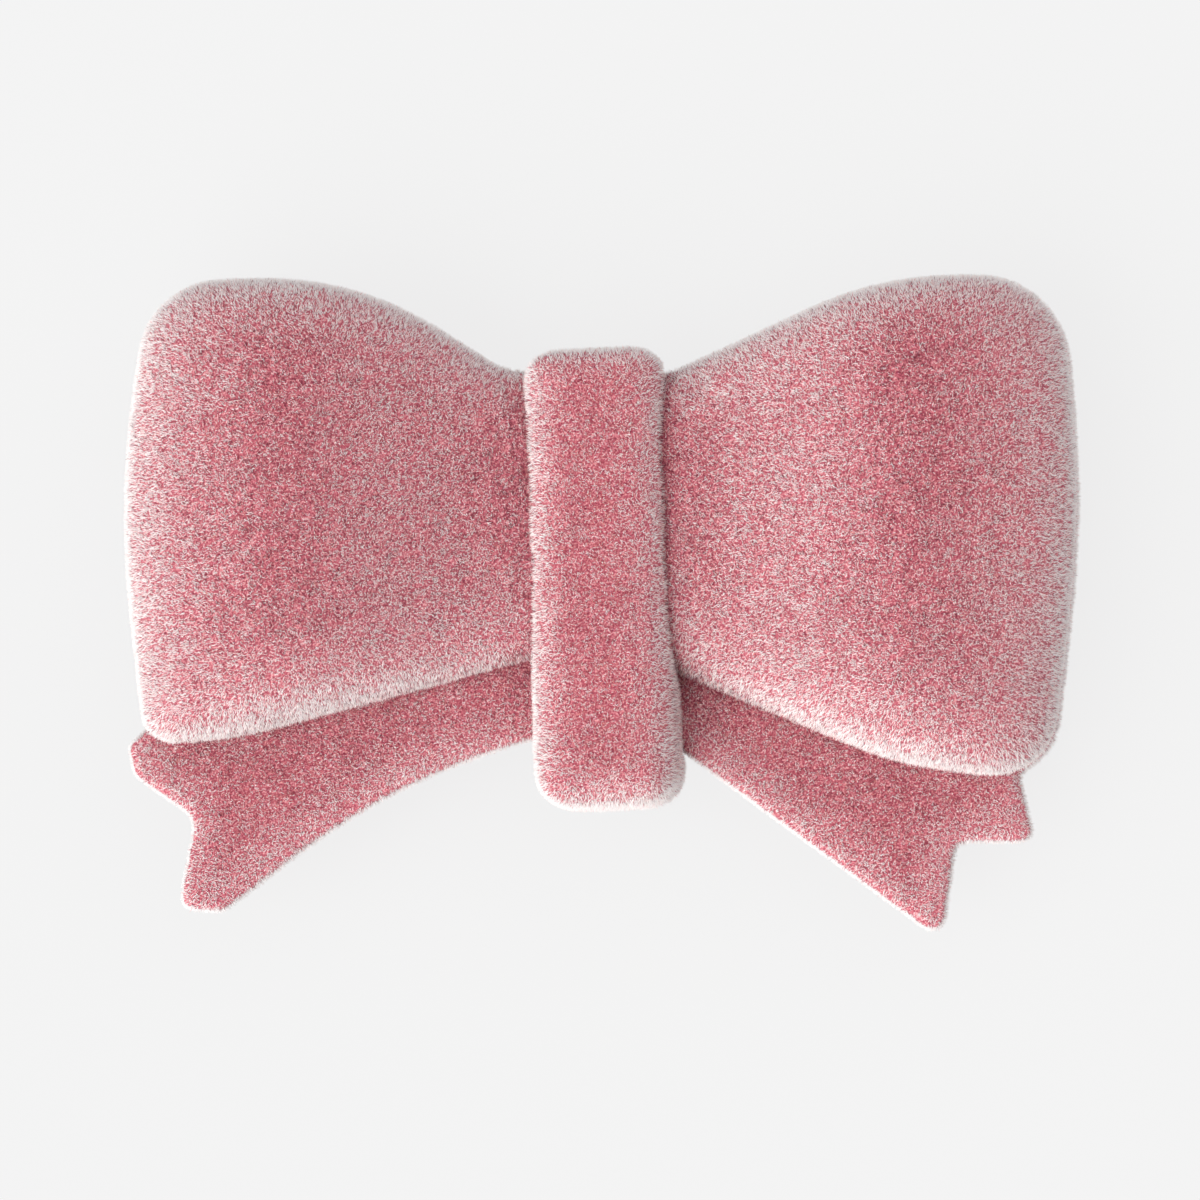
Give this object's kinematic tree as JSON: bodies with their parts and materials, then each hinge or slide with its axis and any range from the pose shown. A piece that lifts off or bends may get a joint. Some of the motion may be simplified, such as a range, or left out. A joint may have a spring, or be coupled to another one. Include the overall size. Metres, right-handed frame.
{
  "type": "barrette",
  "caption": "Hair barrette: a puffy flocked bow with a knot band and two notched tails, on a spring clip with a hinged arm and a pinch catch.",
  "frame": {"origin": "under the middle of the bow, on the surface that the closed clip lies on", "axes": "+X along the clip towards its catch, +Y up the bow as it is worn, +Z out of the bow's front"},
  "size_m": [0.0956, 0.0649, 0.0214],
  "materials": {
    "flocked_shell": "moulded plastic with dusty pink flock",
    "flocked_plate": "moulded plastic with dusty pink flock",
    "flocked_band": "moulded plastic with dusty pink flock",
    "nickel_base": "nickel-plated stamped steel",
    "nickel_arm": "nickel-plated stamped steel",
    "nickel_catch": "nickel-plated spring steel",
    "nickel_pin": "nickel-plated, peened",
    "spring_steel": "plain spring steel"
  },
  "bodies": {
    "bow": {"front_shell": "flocked_shell", "back_plate": "flocked_plate", "knot_band": "flocked_band", "clip_base": "nickel_base", "hinge_pin": "nickel_pin", "catch_bridge": "nickel_catch", "catch_rivet": "nickel_pin"},
    "arm": {"clasp_arm": "nickel_arm"},
    "bar": {"tension_bar": "spring_steel"},
    "leg_lower": {"catch_leg_lower": "nickel_catch"},
    "leg_upper": {"catch_leg_upper": "nickel_catch"}
  },
  "joints": [
    {"name": "arm_hinge", "type": "hinge", "parent": "bow", "child": "arm", "pos_m": [-0.0328, 0.004, 0.002], "axis": [0, 1, 0], "range_deg": [0, 95]},
    {"name": "bar_flex", "type": "hinge", "parent": "bow", "child": "bar", "pos_m": [-0.031, 0.004, 0.0077], "axis": [0, -1, 0], "range_deg": [0, 1.25], "stiffness_Nm_per_rad": 0.2},
    {"name": "leg_lower_flex", "type": "hinge", "parent": "bow", "child": "leg_lower", "pos_m": [0.0322, 0.00115, 0.0074], "axis": [1, 0, 0], "range_deg": [0, 8], "stiffness_Nm_per_rad": 0.05},
    {"name": "leg_upper_flex", "type": "hinge", "parent": "bow", "child": "leg_upper", "pos_m": [0.0322, 0.00685, 0.0074], "axis": [-1, 0, 0], "range_deg": [0, 8], "stiffness_Nm_per_rad": 0.05}
  ]
}
